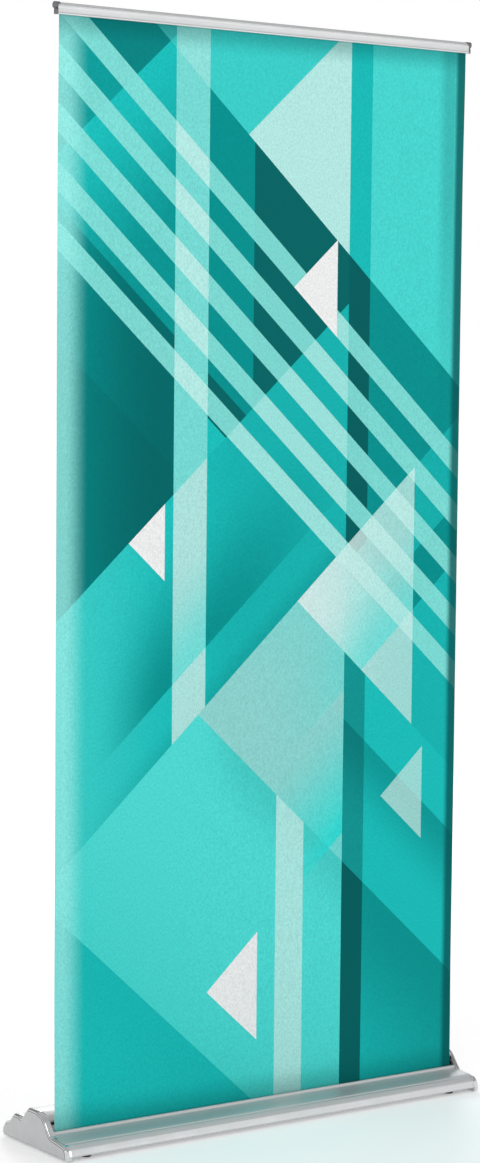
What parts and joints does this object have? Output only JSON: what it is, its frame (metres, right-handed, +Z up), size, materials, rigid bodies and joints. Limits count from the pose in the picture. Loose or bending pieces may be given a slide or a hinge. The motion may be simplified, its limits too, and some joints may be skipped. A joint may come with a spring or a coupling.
{
  "type": "roll-up banner stand",
  "caption": "Freestanding banner stand: a wide cassette base with a sprung roller, a telescopic pole behind, and a snap rail that holds up a tall printed sheet.",
  "frame": {"origin": "on the floor, under the middle of the base", "axes": "+Z up; +X along the cassette to the right seen from the printed side; the printed side faces -Y"},
  "size_m": [0.952, 0.2264, 2.0411],
  "materials": {
    "anodised_aluminium": "satin silver anodised extrusion with fine drawn lines",
    "cap_chrome": "satin chrome plated moulding, brighter on its rounded rim",
    "zinc_steel": "zinc plated steel",
    "spring_steel": "oiled spring steel",
    "foot_rubber": "matt black rubber",
    "dark_plastic": "dark grey moulded plastic",
    "banner_print": "printed film with a fine canvas grain, teal bands and triangles",
    "banner_back": "plain grey back of the printed film"
  },
  "bodies": {
    "base": {"cassette_housing": "anodised_aluminium", "front_apron": "anodised_aluminium", "floor_plate": "zinc_steel", "slot_strip": "foot_rubber", "end_plate_left": "zinc_steel", "end_plate_right": "zinc_steel", "end_cap_left": "cap_chrome", "end_cap_right": "cap_chrome", "end_plate_screw_left_1": "zinc_steel", "end_plate_screw_left_2": "zinc_steel", "end_plate_screw_left_3": "zinc_steel", "foot_front_left": "foot_rubber", "foot_screw_front_left": "zinc_steel", "foot_rear_left": "foot_rubber", "foot_screw_rear_left": "zinc_steel", "end_plate_screw_right_1": "zinc_steel", "end_plate_screw_right_2": "zinc_steel", "end_plate_screw_right_3": "zinc_steel", "foot_front_right": "foot_rubber", "foot_screw_front_right": "zinc_steel", "foot_rear_right": "foot_rubber", "foot_screw_rear_right": "zinc_steel", "pole_socket": "dark_plastic", "pole_foot_plug": "dark_plastic", "pole_lower_tube": "anodised_aluminium", "split_sleeve_lower": "dark_plastic", "spring_shaft": "zinc_steel", "idle_axle": "zinc_steel", "spring_collar": "dark_plastic", "power_spring": "spring_steel", "banner": "banner_print"},
    "roller": {"roller_tube": "anodised_aluminium", "wound_film": "banner_back", "spring_hub": "dark_plastic", "idle_hub": "dark_plastic", "spring_bush": "zinc_steel", "idle_bush": "zinc_steel", "spring_anchor": "dark_plastic"},
    "collar_lower": {"twist_collar_lower": "dark_plastic"},
    "pole_middle": {"pole_middle_tube": "anodised_aluminium", "guide_bush_middle": "dark_plastic", "split_sleeve_upper": "dark_plastic"},
    "collar_upper": {"twist_collar_upper": "dark_plastic"},
    "pole_upper": {"pole_upper_tube": "anodised_aluminium", "guide_bush_upper": "dark_plastic", "pole_head": "dark_plastic", "rail_hook": "dark_plastic", "rail_rear_jaw": "anodised_aluminium", "rail_end_cap_left": "dark_plastic", "rail_end_cap_right": "dark_plastic"},
    "front_jaw": {"rail_front_jaw": "anodised_aluminium", "jaw_end_cap_left": "dark_plastic", "jaw_end_cap_right": "dark_plastic"}
  },
  "joints": [
    {"name": "pole_middle_slide", "type": "slide", "parent": "base", "child": "pole_middle", "axis": [0, 0, 1], "range_m": [-0.57, 0], "deforming": ["banner"]},
    {"name": "pole_upper_slide", "type": "slide", "parent": "pole_middle", "child": "pole_upper", "axis": [0, 0, 1], "range_m": [-0.57, 0]},
    {"name": "roller_spin", "type": "hinge", "parent": "base", "child": "roller", "pos_m": [0, -0.0256, 0.0345], "axis": [1, 0, 0], "range_deg": [0, 3990]},
    {"name": "collar_lower_twist", "type": "hinge", "parent": "base", "child": "collar_lower", "pos_m": [0, 0.0085, 0.7], "axis": [0, 0, 1], "range_deg": [0, 90]},
    {"name": "collar_upper_twist", "type": "hinge", "parent": "pole_middle", "child": "collar_upper", "pos_m": [0, 0.0085, 1.32], "axis": [0, 0, 1], "range_deg": [0, 90]},
    {"name": "front_jaw_hinge", "type": "hinge", "parent": "pole_upper", "child": "front_jaw", "pos_m": [0, -0.042, 2.035], "axis": [-1, 0, 0], "range_deg": [0, 25]}
  ],
  "couplings": [
    {"joint": "pole_upper_slide", "follows": "pole_middle_slide", "ratio": 1},
    {"joint": "roller_spin", "follows": "pole_middle_slide", "rad_per_m": -121.95}
  ]
}
